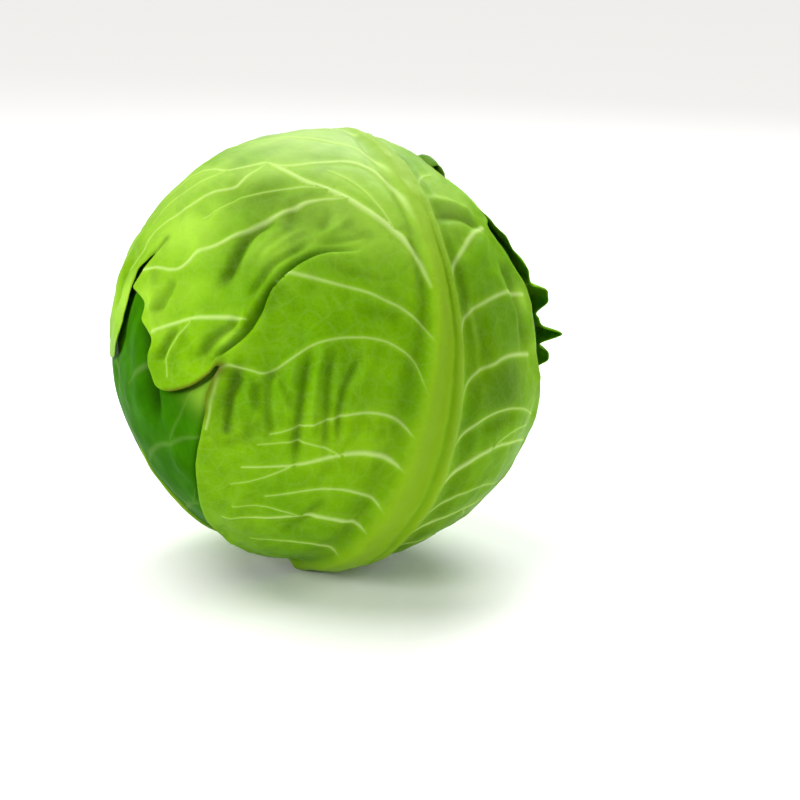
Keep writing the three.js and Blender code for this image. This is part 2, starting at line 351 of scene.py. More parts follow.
class Relief:
    """What folds, creases and curls add to a flat blade: a height, a slide in its own plane, and the painted
    shade of its hollows.
    """

    def __init__(self, flat):
        self.flat = flat
        self.lift = np.zeros(len(flat))
        self.slide = np.zeros_like(flat)
        self.hollow = np.zeros(len(flat))

    def ends(self, along, fade_in, fade_out):
        start = ease(along, 0, fade_in) if fade_in else np.ones_like(along)
        return start * (ease(1 - along, 0, fade_out) if fade_out else 1)

    def ridge(self, line, height, width, fade_in=0.25, fade_out=0.25):
        gap, _, along = beside(self.flat, smooth_line(line, 1.5))
        fold = hump(gap, width) * self.ends(along, fade_in, fade_out)
        self.lift += height * fold
        # A sunk crease also gets painted shade, the more the deeper it sinks.
        depth = np.clip(-height / 2.2, 0, 1)
        self.hollow = np.maximum(self.hollow, depth * (0.55 if height > -2.5 else 1.0) * fold)

    def overlap(self, line, lip, lip_width, hollow, hollow_width, overhang=0.0, fade_in=0.3, fade_out=0.0):
        """A fold whose left side lies over its right: a raised lip, and a hollow tucked in under it."""
        run = smooth_line(line, 1.5)
        gap, side, along = beside(self.flat, run)
        amount = self.ends(along, fade_in, fade_out)
        left = ease(side * gap, -0.1, 0.42)
        step = left * lip * hump(gap, lip_width) - (1 - left) * hollow * hump(gap, hollow_width)
        self.lift += amount * step
        # Painted shade in the hollow under the lip.
        self.hollow = np.maximum(self.hollow, amount * (1 - left) * hump(gap, hollow_width * 0.6))
        if overhang:
            ahead = np.gradient(run, axis=0)
            ahead /= np.linalg.norm(ahead, axis=1)[:, None]
            at = np.clip((along * (len(run) - 1)).round().astype(int), 0, len(run) - 1)
            right = np.stack([ahead[at, 1], -ahead[at, 0]], 1)
            push = overhang * amount * left * hump(gap, lip_width * 0.6)
            self.slide += right * push[:, None]


def rule_veins(margin, half_rib, first, last, gap, reach, seed):
    """Side veins by the leaf's own habit: they leave the midrib in turn, climb, bend out and fork."""
    rng = np.random.default_rng(seed)
    found = []
    for side in (-1, 1):
        y0 = first + (gap / 2 if side > 0 else 0)
        while y0 < last:
            length = reach * (0.75 + 0.25 * math.sin(math.pi * (y0 - first) / (last - first)))
            climb = rng.uniform(0.38, 0.55) * (1.0 + 0.5 * (y0 - first) / (last - first))
            t = np.linspace(0, 1, 12)
            bend = rng.uniform(-0.05, 0.12)
            x = side * (half_rib + length * (t - 0.12 * t * (1 - t)))
            y = y0 + length * climb * (t**0.8 + bend * np.sin(math.pi * t)) + rng.normal(0, 0.5, 12)
            main = np.stack([x, y], 1)
            found.append((main, 1.35, 0.35))
            for fork_at, way in ((4, 1), (6, -1), (8, 1)):
                root = main[fork_at]
                ahead = main[fork_at + 1] - root
                ahead = ahead / np.linalg.norm(ahead)
                turn = math.radians(rng.uniform(24, 38)) * way * side
                c, s = math.cos(turn), math.sin(turn)
                ahead = np.array([ahead[0] * c - ahead[1] * s, ahead[0] * s + ahead[1] * c])
                run = length * rng.uniform(0.22, 0.4)
                u = np.linspace(0, 1, 7)[:, None]
                sway = np.array([-ahead[1], ahead[0]]) * rng.normal(0, 1.2)
                found.append((root + ahead * run * u + sway * np.sin(math.pi * u), 0.75, 0.3))
            y0 += gap * rng.uniform(0.85, 1.15)
    kept = []
    edge = smooth_line(margin, 3, closed=True)
    for line, a, b in found:
        inner = inside(line, edge) & (distance_to(edge, line) > 3.0)
        stop = len(inner) if inner.all() else int(np.argmin(inner))
        if stop >= 4:
            kept.append((line[:stop], a, a + (b - a) * stop / len(line)))
    return kept


def rib_shape(flat, stations):
    """Across the midrib: 0 on its left edge, 1 on its right. stations are (up, left edge, right edge)."""
    up, left, right = np.array(stations, float).T
    low, high = np.interp(flat[:, 1], up, left), np.interp(flat[:, 1], up, right)
    return (flat[:, 0] - low) / (high - low), high - low


def close_blade(name, plane, flat, triangles, height, slide, thickness, band_radius, edge_count, attributes):
    """Wraps a flat blade round the head and gives it its thickness, closed all round its margin."""
    towards = plane.wrap(flat + slide)
    radius = band_radius * roundness(towards) + height
    outer = HEAD_MIDDLE + towards * radius[:, None] * MM
    outer[:, 2] = np.maximum(outer[:, 2], LOWEST * MM)
    a, b, c = (outer[triangles[:, k]] for k in range(3))
    normal = np.cross(b - a, c - a)
    normals = np.zeros_like(outer)
    for k in range(3):
        np.add.at(normals, triangles[:, k], normal)
    normals /= np.linalg.norm(normals, axis=1)[:, None] + 1e-18
    inner = outer - normals * thickness[:, None] * MM
    inner[:, 2] = np.maximum(inner[:, 2], (LOWEST + 0.15) * MM)
    n = len(flat)
    edge = np.arange(edge_count)
    following = np.roll(edge, -1)
    travel = outer[following] - outer[np.roll(edge, 1)]
    outwards = np.cross(travel, normals[edge])
    outwards /= np.linalg.norm(outwards, axis=1)[:, None] + 1e-18
    middle = (outer[edge] + inner[edge]) / 2 + outwards * thickness[edge][:, None] * RIM_BULGE * MM
    verts = np.vstack([outer, inner, middle])
    rim = 2 * n + edge
    rim_next = 2 * n + following
    walls = np.vstack([
        np.stack([following, edge, rim], 1), np.stack([following, rim, rim_next], 1),
        np.stack([rim_next, rim, n + edge], 1), np.stack([rim_next, n + edge, n + following], 1),
    ])
    faces = np.vstack([triangles, triangles[:, ::-1] + n, walls])
    mesh = bpy.data.meshes.new(name)
    mesh.vertices.add(len(verts))
    mesh.vertices.foreach_set("co", verts.ravel())
    mesh.loops.add(len(faces) * 3)
    mesh.loops.foreach_set("vertex_index", faces.ravel())
    mesh.polygons.add(len(faces))
    mesh.polygons.foreach_set("loop_start", np.arange(0, len(faces) * 3, 3))
    mesh.polygons.foreach_set("use_smooth", np.ones(len(faces), bool))
    mesh.update(calc_edges=True)
    everywhere = np.vstack([flat, flat, flat[edge]])
    uv = mesh.uv_layers.new(name="blade")
    uv.data.foreach_set("uv", (everywhere[faces.ravel()] * DEGREE / 100).ravel())
    for label, values in attributes.items():
        full = np.concatenate([values, values, values[edge]])
        mesh.attributes.new(label, "FLOAT", "POINT").data.foreach_set("value", full)
    mesh.validate()
    return mesh


class Sock:
    """A shader socket that maths can be written with."""

    def __init__(self, sheet, socket):
        self.sheet, self.socket = sheet, socket

    def _maths(self, operation, *values, clamp=False):
        return self.sheet.node("ShaderNodeMath", dict(enumerate(values)), operation=operation,
                               use_clamp=clamp)

    def __add__(self, other):
        return self._maths("ADD", self, other)

    def __radd__(self, other):
        return self._maths("ADD", other, self)

    def __sub__(self, other):
        return self._maths("SUBTRACT", self, other)

    def __rsub__(self, other):
        return self._maths("SUBTRACT", other, self)

    def __mul__(self, other):
        return self._maths("MULTIPLY", self, other)

    def __rmul__(self, other):
        return self._maths("MULTIPLY", other, self)

    def clamp(self):
        return self._maths("ADD", self, 0.0, clamp=True)

    def ramp(self, low, high):
        """0 below low and 1 above high, eased between them."""
        return self.sheet.node("ShaderNodeMapRange", {"Value": self, "From Min": low, "From Max": high},
                               interpolation_type="SMOOTHSTEP")


class Finish:
    """A procedural material."""

    def __init__(self, name):
        self.material = bpy.data.materials.new(name)
        self.material.use_nodes = True
        self.tree = self.material.node_tree
        self.tree.nodes.clear()

    def node(self, kind, inputs=(), output=0, **settings):
        plain = {key: value.socket if isinstance(value, Sock) else value
                 for key, value in dict(inputs).items()}
        return Sock(self, add_node(self.tree, kind, plain, **settings).outputs[output])

    def mix(self, amount, a, b):
        """Colour a where amount is 0, colour b where it is 1."""
        return self.node("ShaderNodeMix", {0: amount, 6: a, 7: b}, output=2, data_type="RGBA")

    def attribute(self, name):
        return self.node("ShaderNodeAttribute", output="Fac", attribute_name=name)

    def place(self):
        return self.node("ShaderNodeTexCoord", output="Object")

    def noise(self, place, scale, detail, roughness=0.5, output=0):
        return self.node("ShaderNodeTexNoise", {"Vector": place, "Scale": scale, "Detail": detail,
                                                "Roughness": roughness}, output=output)

    def cracks(self, place, scale):
        """Distance to the nearest wall of a net of small cells."""
        return self.node("ShaderNodeTexVoronoi", {"Vector": place, "Scale": scale},
                         feature="DISTANCE_TO_EDGE")

    def vector(self, operation, a, b):
        return self.node("ShaderNodeVectorMath", {0: a, 1: b}, operation=operation)

    def bent(self, place, scale, amount):
        """A place pushed about a little, so that a net drawn on it isn't straight."""
        wander = self.noise(place, scale, 2.0, output="Color")
        push = self.node("ShaderNodeVectorMath", {0: wander, "Scale": amount}, operation="SCALE")
        return self.vector("ADD", place, push)

    def height(self, place):
        return self.node("ShaderNodeSeparateXYZ", {0: place}, output="Z")

    def bump(self, height, strength, distance):
        return self.node("ShaderNodeBump", {"Height": height, "Strength": strength, "Distance": distance},
                         output="Normal")

    def finish(self, **sockets):
        shader = self.node("ShaderNodeBsdfPrincipled",
                           {key.replace("_", " "): value for key, value in sockets.items()})
        add_node(self.tree, "ShaderNodeOutputMaterial", {"Surface": shader.socket})
        return self.material


def srgb(*colour):
    """A colour given in screen steps of 0 to 255, as the shader's linear light."""
    return tuple(((v / 255 + 0.055) / 1.055) ** 2.4 if v > 10 else v / 255 / 12.92 for v in colour)


def darker(colour, share):
    return tuple(v * share for v in colour)


def leaf_finish(name, blade, shade, vein_strength=1.0, gloss=0.015):
    """Waxy green leaf: mottled blade, pale veins and midrib, a fine net of small veins, a soft wax bloom
    under a painted highlight towards the top, and painted light and painted shade.
    """
    f = Finish(name)
    flat = f.node("ShaderNodeUVMap", uv_map="blade", output="UV")
    here = f.place()
    gap, girth, rib, hollow = (f.attribute(n) for n in ("vein_gap", "vein_girth", "rib", "hollow"))
    light, bead, groove, dry = (f.attribute(n) for n in ("light", "bead", "groove", "dry"))

    drift = f.noise(here, 21.0, 3.0, 0.55)
    mottle = f.noise(here, 95.0, 4.0, 0.6)
    grain = f.noise(here, 900.0, 2.0)
    net_place = f.bent(flat, 9.0, 0.05)
    streak = f.noise(f.vector("MULTIPLY", net_place, (4.0, 1.6, 1)), 3.2, 4.0)
    net_line = 1 - f.cracks(net_place, 13.0).ramp(0.0, 0.13)
    fine_line = 1 - f.cracks(net_place, 46.0).ramp(0.0, 0.16)
    line = 1 - gap.ramp(0.0, 1.9)
    glow = 1 - gap.ramp(0.5, 6.0)
    height_up = f.height(here)
    # Towards the top: partly the head's wax bloom, partly a painted highlight where the overhead light falls.
    bloom_and_highlight = height_up.ramp(0.122, 0.19) * (drift.ramp(0.36, 0.62) * 0.75 + 0.2)
    low = 1 - height_up.ramp(0.03, 0.11)
    open_blade = 1 - rib

    colour = f.mix(drift.ramp(0.34, 0.68), shade, blade)
    colour = f.mix(((mottle - 0.42) * 1.2).clamp(), colour, darker(shade, 0.62))
    colour = f.mix(streak.ramp(0.5, 0.72) * 0.35, colour, darker(shade, 0.6))
    # Painted shade: darker towards the bottom of the head.
    colour = f.mix(low * 0.35, colour, darker(shade, 0.7))
    colour = f.mix((bloom_and_highlight * 0.42).clamp(), colour, BLOOM_AND_TOP_HIGHLIGHT)
    # Painted highlight: a whiter sheen along the very top of the head.
    colour = f.mix(height_up.ramp(0.164, 0.187) * 0.26, colour, CROWN_HIGHLIGHT)
    # Painted light: lighter patches where the blade faces the lamps.
    colour = f.mix(light, colour, PAINTED_LIGHT_GREEN)
    # Painted shade: hollows, creases and pockets darkened.
    colour = f.mix((hollow * 0.95).clamp(), colour, darker(shade, 0.32))
    colour = f.mix(fine_line * 0.02 * vein_strength, colour, VEIN_PALE)
    colour = f.mix(net_line * mottle * 0.045 * vein_strength, colour, VEIN_PALE)
    colour = f.mix((glow * glow * open_blade * 0.16 * vein_strength).clamp(), colour, VEIN_GLOW)
    colour = f.mix((line * open_blade * (girth * 0.62 + 0.08) * vein_strength).clamp(), colour, VEIN_PALE)
    # On the midrib: painted shade along its groove and a painted highlight along its beads.
    rib_colour = f.mix(groove * 0.6, f.mix((bloom_and_highlight * 0.8 + bead * 0.55).clamp(), RIB_LOW, RIB_HIGH), shade)
    colour = f.mix((rib * (0.6 + (mottle - 0.5) * 0.4)).clamp(), colour, rib_colour)
    colour = f.mix(dry * (0.6 + mottle * 0.4), colour, DRY_EDGE)

    rough = 0.4 + (mottle - 0.5) * 0.16 + line * 0.04
    height = net_line * -0.2 + fine_line * -0.1 + grain * 0.12 + mottle * 0.9 + line * girth * 0.5
    return f.finish(Base_Color=colour, Roughness=rough, Normal=f.bump(height, 0.3, 0.5 * MM),
                    Subsurface_Weight=0.08, Subsurface_Radius=(0.35, 1.0, 0.08), Subsurface_Scale=0.0018,
                    Specular_IOR_Level=gloss)


def dress_leaf(name, mesh, node, material):
    piece = piece_of(name, mesh)
    mesh.materials.clear()
    mesh.materials.append(material)
    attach(piece, "root")
    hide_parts(node)
    return piece


BLADE_GREEN = srgb(124, 175, 7)
BLADE_SHADE = srgb(98, 151, 2)
PAINTED_LIGHT_GREEN = srgb(178, 226, 70)
VEIN_PALE = srgb(206, 230, 146)
# Wax bloom and painted highlight, mixed in towards the top.
BLOOM_AND_TOP_HIGHLIGHT = srgb(188, 216, 122)
CROWN_HIGHLIGHT = srgb(212, 226, 196)
VEIN_GLOW = srgb(164, 208, 50)
RIB_LOW = srgb(134, 170, 22)
RIB_HIGH = srgb(144, 178, 72)
DRY_EDGE = srgb(84, 80, 18)

front = LeafPlane(azimuth=28.5, lean=9, centre=25)
FRONT_SIDE = [
    (-16, -104), (-38, -98), (-57, -80), (-64, -52), (-62, -34), (-60, -25), (-57.5, -19), (-54.5, -15.5),
    (-56.5, -15.6), (-60, -17.4), (-64, -19.8), (-69, -21.2), (-73, -21.4), (-76.5, -19.5), (-77.6, -15),
    (-77, -10), (-76.2, -5), (-77.2, -1), (-78.6, 4), (-78, 9), (-79.5, 13), (-81.6, 16.5), (-82, 20.2),
    (-78.9, 24), (-74.6, 28), (-80.6, 26), (-85, 20.6), (-89, 14.6), (-93.6, 8), (-98, 3),
    (-102, -1), (-108, -2), (-115, 2), (-117, 12), (-113, 30), (-102, 50), (-84, 70), (-62, 84), (-38, 93),
    (-16, 96), (0, 92), (9, 84), (14, 74), (16.4, 60), (14.6, 52), (15.4, 45),
    (19, 38.6), (22.6, 33.4), (24, 29.6), (26.6, 27), (24, 23.6), (24.6, 20),
    (28.4, 14), (32, 10.2), (35.4, 7.2), (37, 2.5), (36.8, -3), (37.4, -11), (42, -18), (48, -28),
    (51, -42), (51, -62), (47, -82), (41.5, -95),
]
front_margin = np.vstack([np.array(FRONT_SIDE, float)[::-1], front.foot(30, half_turn=60, count=7)[::-1]])

# The folds: the left lobe lies over the blade to its right, and runs out into the flap's lower edge.
FRONT_FOLD = [(-18, 12.4), (-21.5, 11.8), (-25, 11.2), (-30, 10), (-35, 8), (-38, 6), (-40.4, 4.6),
              (-42, 2.6), (-43.2, 0), (-44.2, -2.4), (-45.4, -5), (-47, -7.2), (-49.4, -9.4),
              (-52, -11.2), (-55, -13)]
FRONT_RIB = [(-112, -12, 12), (-70, -8, 9), (-40, -6, 7), (-25, -5, 6), (-15, -4.2, 5), (-6, -3.2, 4),
             (5, -3, 3.2), (18, -3.6, 2.4), (30, -4, 2.2), (42, -4, 2.6), (55, -3.2, 2.6),
             (69, -1.8, 2.2), (84, -0.8, 1)]
# Each vein's line from its root to its tip, and its weight at both.
FRONT_VEINS = [
    ([(-3.4, 2), (-5, 8), (-7, 13), (-10, 17), (-14, 21), (-19, 26), (-24, 31), (-29, 35), (-33, 42),
      (-36, 48), (-41, 49), (-47, 50.5), (-51, 56), (-56, 60), (-62, 60)], 1.5, 0.6),
    ([(-3, 18), (-4, 24), (-5.4, 30), (-8, 36), (-11, 40), (-16, 42), (-21, 42.4), (-28, 42.6),
      (-33, 44.6), (-36, 48)], 1.3, 0.7),
    ([(-2.6, 30), (-4.5, 39), (-7, 46), (-10, 51), (-16, 55), (-21, 60), (-27, 66), (-34, 69),
      (-44, 72)], 1.1, 0.45),
    ([(-20, 27), (-26, 27.4), (-31, 27.2), (-36, 26), (-40, 25), (-44, 24), (-47, 23), (-51, 22),
      (-55, 21), (-61, 20), (-64, 18), (-67, 17), (-70, 18), (-74, 20.6), (-79, 22.4)], 1.0, 0.8),
    ([(-36, 48), (-42, 44), (-48, 41.4), (-53, 42), (-57, 42), (-62, 41), (-66, 40), (-71, 40),
      (-77, 38), (-81, 34), (-88, 30)], 1.0, 0.45),
    ([(-3, -12), (-5.4, -8.6), (-8, -6), (-12, -3), (-16, -1), (-20, 1), (-26, 3), (-32, 5), (-37, 6),
      (-41, 6)], 0.5, 0.7),
    ([(-4.4, -24), (-8, -16.4), (-14, -12), (-19, -10.4), (-24, -10), (-28, -10.2), (-32, -11),
      (-35, -12.4), (-39, -15), (-42, -17), (-45, -18), (-48, -17), (-51, -16), (-53.4, -15.4),
      (-55.6, -16.8), (-57.4, -20.6), (-59.4, -27), (-61, -34)], 0.45, 0.55),
    ([(-49, -3.4), (-54, -2), (-59, -1), (-64, -0.2), (-69, -0.6), (-73, -1.2), (-75.6, -2)], 1.0, 0.8),
    ([(-2.6, 46), (-2, 56), (-5, 66), (-12, 76), (-22, 84)], 0.9, 0.4),
    ([(3.8, -14), (4.6, -9.6), (6, -5.4), (9, -2.8), (13, -0.6), (17, 1.2), (23, 3.2), (33, 4.4)], 0.6, 0.9),
    ([(5.6, -30), (7, -23), (8.6, -20), (11.4, -17.8), (16, -15.8), (19, -14.2), (24, -13),
      (33, -12)], 0.5, 0.9),
    ([(2.8, 2), (5, 8.4), (10, 14), (13, 17), (16, 19.4), (19, 21), (21, 22)], 0.7, 1.1),
    ([(2.4, 30), (4, 35), (7, 38.4), (12, 41)], 0.7, 0.4),
    ([(8, -46), (6.4, -32), (6, -24), (5, -15), (4, -6), (3, 4), (2.1, 18), (2, 32), (2.6, 43),
      (3.2, 54), (2.4, 68)], 0.75, 0.6),
    ([(-10, 17), (-13, 25), (-17, 33), (-22, 38)], 0.55, 0.35),
    ([(-24, 31), (-31, 33), (-40, 34), (-48, 35), (-58, 33)], 0.6, 0.35),
    ([(-47, 50.5), (-56, 51), (-66, 50), (-76, 47)], 0.65, 0.35),
    ([(-64, -0.2), (-69, -6), (-72, -11), (-73, -17)], 0.4, 0.3),
    ([(-5.4, -35), (-12, -30), (-20, -28.6), (-30, -31), (-43, -35)], 0.75, 0.35),
    ([(-7, -57), (-16, -51.6), (-28, -51), (-42, -56)], 0.85, 0.4),
    ([(-10, -80), (-20, -75), (-32, -76), (-42, -80)], 1.0, 0.4),
    ([(-24, -40), (-34, -37), (-46, -38)], 0.5, 0.3),
    ([(-30, -62), (-40, -60), (-51, -61)], 0.5, 0.3),
    ([(-36, -44), (-44, -49.4), (-53, -53)], 0.5, 0.3),
    ([(6.4, -38), (13, -32), (22, -28), (33, -26.6), (43, -28)], 0.85, 0.4),
    ([(8, -61), (16, -53.6), (26, -50), (41, -50)], 0.85, 0.4),
    ([(11, -82), (18, -76), (28, -74), (38, -76)], 0.9, 0.4),
    ([(24, -38), (31, -33), (41, -31)], 0.5, 0.3),
    ([(28, -59), (36, -64), (44, -67)], 0.5, 0.3),
    ([(-6, -44), (-14, -40), (-24, -40), (-36, -44), (-50, -46)], 1.2, 0.5),
    ([(-8, -66), (-18, -62), (-30, -62), (-44, -66), (-54, -68)], 1.2, 0.5),
    ([(7, -50), (14, -43), (24, -38), (36, -36), (46, -36)], 1.2, 0.5),
    ([(8.6, -70), (17, -63), (28, -59), (42, -57)], 1.2, 0.5),
    ([(-78, 58), (-88, 50), (-98, 38), (-106, 24), (-110, 12)], 0.7, 0.4),
    ([(-34, 69), (-46, 78), (-60, 78)], 0.6, 0.35),
    ([(-60, 59), (-72, 60), (-84, 58)], 0.6, 0.35),
]
front_lines = [(line, 0.5) for line, _, _ in FRONT_VEINS] + [(FRONT_FOLD, 0.32)]
STEP = 0.82
flat, triangles = cut_blade(front_margin, front_lines, STEP)
edge_count = len(smooth_line(front_margin, STEP * EDGE_STEP, closed=True))

front_finish = leaf_finish("front_leaf_green", BLADE_GREEN, BLADE_SHADE)
lift, vein_gap, vein_girth = raise_veins("front_leaf", flat, triangles, FRONT_VEINS, front_finish,
                                         ridge=0.75, trough=0.95, trough_width=3.4)
relief = Relief(flat)
relief.lift += lift
relief.overlap(FRONT_FOLD, lip=3.1, lip_width=4.4, hollow=3.5, hollow_width=3.3, overhang=1.2, fade_in=0.3)
relief.ridge([(-37, 5.6), (-40.6, 2.4), (-42.6, -1.4), (-45, -5.6)], -1.6, 2.0, 0.3, 0.3)
across, wide = rib_shape(flat, FRONT_RIB)
on_rib = ease(across, -0.18, 0.12) * ease(1 - across, -0.16, 0.1)
crown = on_rib * (1.5 + 0.75 * np.cos((across - 0.4) * math.pi)) * np.clip(wide / 6.5, 0.4, 1.4)
# The groove and beads are raised in the relief and also painted: painted shade in the groove, painted
# highlight on the beads.
groove_line = hump(across - 0.66, 0.1) * ease(-flat[:, 1], -40, 4)
bead_line = hump(across - 0.88, 0.09) * ease(flat[:, 1], -60, -20)
left_bead = hump(across - 0.22, 0.16) * ease(-flat[:, 1], -30, 0)
groove, bead = 0.9 * groove_line, 0.95 * bead_line + 0.3 * left_bead
beside_rib = 1.0 * (hump(across + 0.35, 0.25) + hump(across - 1.32, 0.22)) * ease(70 - flat[:, 1], 0, 20)
relief.lift += crown - groove + bead - beside_rib

# Soft swells between the veins, then every wrinkle as a line, its height in millimetres and half width in
# degrees: the fan of wrinkles on the left lobe, the flap's own, and the shoulder to the right of the midrib.
relief.lift += 0.6 * soft_noise(flat, 17, 1.5) + 0.32 * soft_noise(flat, 7, 5.5) \
    + 0.12 * soft_noise(flat, 2.6, 9.5)
WRINKLES = [
    ([(-36, 26), (-38, 25), (-42, 23.4), (-46, 21.6), (-48.4, 19), (-50, 16), (-51.6, 13), (-54, 9),
      (-56, 5)], -2.1, 2.3),
    ([(-34, 22), (-39, 19.6), (-43, 17), (-46, 13.4), (-48, 10)], 1.0, 1.7),
    ([(-31, 19.6), (-38, 16.4), (-42, 14.2), (-45, 11)], 0.8, 0.9),
    ([(-30, 16), (-36, 13), (-41, 11), (-44.6, 7), (-46.4, 4.4), (-48.4, 1)], -1.3, 1.2),
    ([(-25, 13.6), (-31, 12.6), (-36, 10.8), (-40, 8.6), (-43, 5.6), (-45.2, 2.6), (-47.4, -0.6),
      (-49.6, -3.6), (-52, -6.4), (-55, -9), (-58.4, -11.6), (-62, -14.6)], 1.7, 1.7),
    ([(-50, -1), (-53, -4), (-57, -6.2), (-59.4, -8.4), (-61.2, -10.6), (-63.4, -14)], -1.7, 1.7),
    ([(-68, -1.4), (-70.6, -4), (-72.4, -7), (-73.8, -10.4), (-74, -13)], -1.7, 1.1),
    ([(-66, -2), (-68.4, -6), (-71, -10), (-72, -14)], 0.8, 1.1),
    ([(-68.4, 15), (-70.6, 10), (-72.6, 7), (-74, 3)], -1.3, 1.5),
    ([(-72, 14), (-74.4, 9), (-75.6, 4)], 0.8, 1.4),
    ([(-77, 22), (-75, 16), (-75.4, 10), (-75, 2), (-74.6, -5)], 0.9, 1.3),
    ([(-40, 21), (-44, 19), (-47, 15), (-49.4, 10)], 0.8, 1.0),
    ([(-20, 22), (-25, 18.4), (-30, 16.6)], 0.7, 1.0),
    ([(-16, 17), (-20, 15.4), (-25, 15), (-31, 14.4)], -0.7, 0.9),
    ([(-59, 42), (-57.6, 36), (-55, 30)], -0.6, 2.4),
    ([(-63, 38), (-62, 31), (-60, 24), (-61, 16)], 0.9, 2.4),
    ([(-32, 28), (-34.6, 23), (-37, 18)], -1.3, 2.2),
    ([(-24, 25), (-27, 20), (-29, 16.4)], -0.8, 1.6),
    ([(-15, 13.4), (-19, 17), (-24, 20.6)], -0.6, 2.4),
    ([(-44, 36), (-50, 32), (-58, 30)], 0.8, 2.6),
    ([(-84, 40), (-90, 33), (-95, 25), (-99, 16)], -1.0, 2.4),
    ([(-45, 46), (-48, 36), (-50, 28)], -1.0, 4.5),
    ([(-10, 6), (-14, 4), (-22, 6), (-30, 9)], -0.7, 1.6),
    ([(-10, -6), (-16, -4.6), (-24, -3)], -0.7, 1.8),
    ([(-33.4, -10), (-33.6, -13), (-34.4, -17), (-35.4, -24), (-36, -34), (-35, -46)], -1.8, 1.25),
    ([(-30.4, -10), (-31, -15), (-32, -19), (-32.4, -28), (-32, -38)], 1.2, 1.2),
    ([(-27.4, -10.4), (-28.4, -15), (-29.2, -20), (-29, -30), (-28, -42)], -1.3, 1.2),
    ([(-20, -13), (-22, -15), (-23.4, -18), (-25.4, -23), (-26, -30), (-25, -38)], -1.3, 1.2),
    ([(-17.6, -14), (-20, -18), (-22, -23)], 0.8, 1.3),
    ([(-39, -15.4), (-42, -17.6), (-44, -21), (-44, -28), (-42, -38)], -1.6, 1.5),
    ([(-42, -17), (-41.4, -21), (-40, -24), (-38, -30)], 0.9, 1.0),
    ([(-36.6, -14), (-38, -18), (-38, -24)], 0.8, 1.2),
    ([(2.6, 21), (6, 23), (10, 24), (15, 23.6), (19, 21.4), (21, 19)], -1.4, 2.1),
    ([(2.4, 26.4), (8, 27.8), (14, 27.4), (20, 25)], 1.5, 2.2),
    ([(20.6, 21.4), (17, 15.6), (13.6, 9)], 1.1, 2.4),
    ([(21, 14), (25.6, 9), (28.6, 2), (30, -6), (30.6, -14)], -1.5, 2.6),
    ([(14.6, 8), (19, 5.6), (24, 0), (26.6, -7)], 0.9, 2.4),
    ([(8, 3), (10, -4), (12, -12), (12.4, -24)], -1.0, 2.6),
    ([(-10, -50), (-13, -62), (-13, -74)], -0.8, 2.6),
    ([(-24, -52), (-28, -62), (-34, -72)], -1.0, 2.6),
    ([(-46, -50), (-50, -60), (-52, -72)], 0.8, 3.0),
    ([(14, -34), (22, -30), (32, -28)], -0.9, 2.6),
    ([(16, -52), (26, -48), (38, -46)], 0.8, 3.0),
    ([(-44, -30), (-50, -36), (-58, -40)], -1.1, 2.4),
    ([(-16, -30), (-24, -34), (-34, -34)], 0.7, 2.4),
]
for line, height, width in WRINKLES:
    relief.ridge(line, height * 1.34, width * 0.84)

# The flap's slit runs out into a crease.
SLIT = [(-70, 30.6), (-74.6, 27.9), (-79.6, 24.8), (-83, 20.4), (-86, 16)]
relief.ridge(SLIT, -1.7, 1.5, 0.3, 0.2)

# The hood under the fold's end: two turned-up rims with a dark pocket between them, and the slits beside it.
relief.ridge([(-54, -13.4), (-56, -15.6), (-58, -18.4), (-59.4, -22), (-60.8, -30)], 3.0, 1.5, 0.1, 0.4)
relief.ridge([(-53.4, -14), (-50, -15.4), (-46.6, -17.4), (-43.6, -19.6), (-42, -25)], 1.4, 1.2, 0.1, 0.4)
relief.ridge([(-51.6, -17.4), (-53, -21), (-54.6, -25), (-55, -33)], -2.9, 1.9, 0.1, 0.4)
relief.ridge([(-49, -18), (-48.6, -22), (-48.4, -30)], 0.9, 1.1, 0.15, 0.4)
relief.ridge([(-46.4, -20), (-46.6, -24), (-46, -30)], -1.6, 1.1, 0.15, 0.4)

# The flap stands out from the head and its thin edge waves; the other free edges lift a little.
to_edge = distance_to(flat[:edge_count], flat)
near_flap = hump(np.maximum(np.abs(flat[:, 1] - 2) - 14, 0), 8) * ease(-flat[:, 0], 60, 76) \
    * ease(flat[:, 0], -84, -81)
wave = 0.7 * np.sin(flat[:, 1] * 0.52 + 0.6)
relief.lift += near_flap * (2.4 * hump(to_edge, 7) + wave * hump(to_edge, 3.4))
strip = ease(-flat[:, 0], 83, 90)
relief.lift += hump(to_edge, 2.6) * (0.5 * (1 - strip) + 0.1) + hump(to_edge, 1.2) * 0.35
relief.lift -= 1.6 * ease(-flat[:, 0], 92, 106) * ease(-flat[:, 1], -26, 2)

# Painted shade: the creases' own shade, troughs beside the midrib low down, a broad darkening towards the
# lower right, soft dark patches, and the pocket and the slit.
hollow = np.clip(relief.hollow, 0, 1)
low_part = ease(-flat[:, 1], -24, -4)
hollow = np.maximum(hollow, low_part * (0.42 * hump(across - 1.5, 0.36) + 0.22 * hump(across + 0.4, 0.3)))
hollow = np.maximum(hollow, 0.2 * ease(flat[:, 0], 5, 13) * ease(-flat[:, 1], -16, 0))
hollow *= 1 - on_rib
hollow = np.maximum(hollow, patches(flat, [
    (-41, 33, 8, 0.6), (-30, 27, 6, 0.45), (-52, 24, 6, 0.25), (10, 17, 5, 0.25), (14, -14, 8, 0.4),
    (25, -8, 9, 0.4), (22, -22, 12, 0.68), (-33, 25, 7, 0.62), (-44, 25, 5, 0.35)]))
POCKET = [(-51.4, -16.6), (-53, -20), (-54.4, -25), (-55, -34)]
for line, amount, size in ((POCKET, 0.95, 1.7), (SLIT, 0.6, 1.1)):
    hollow = np.maximum(hollow, amount * hump(beside(flat, smooth_line(line, 1))[0], size))
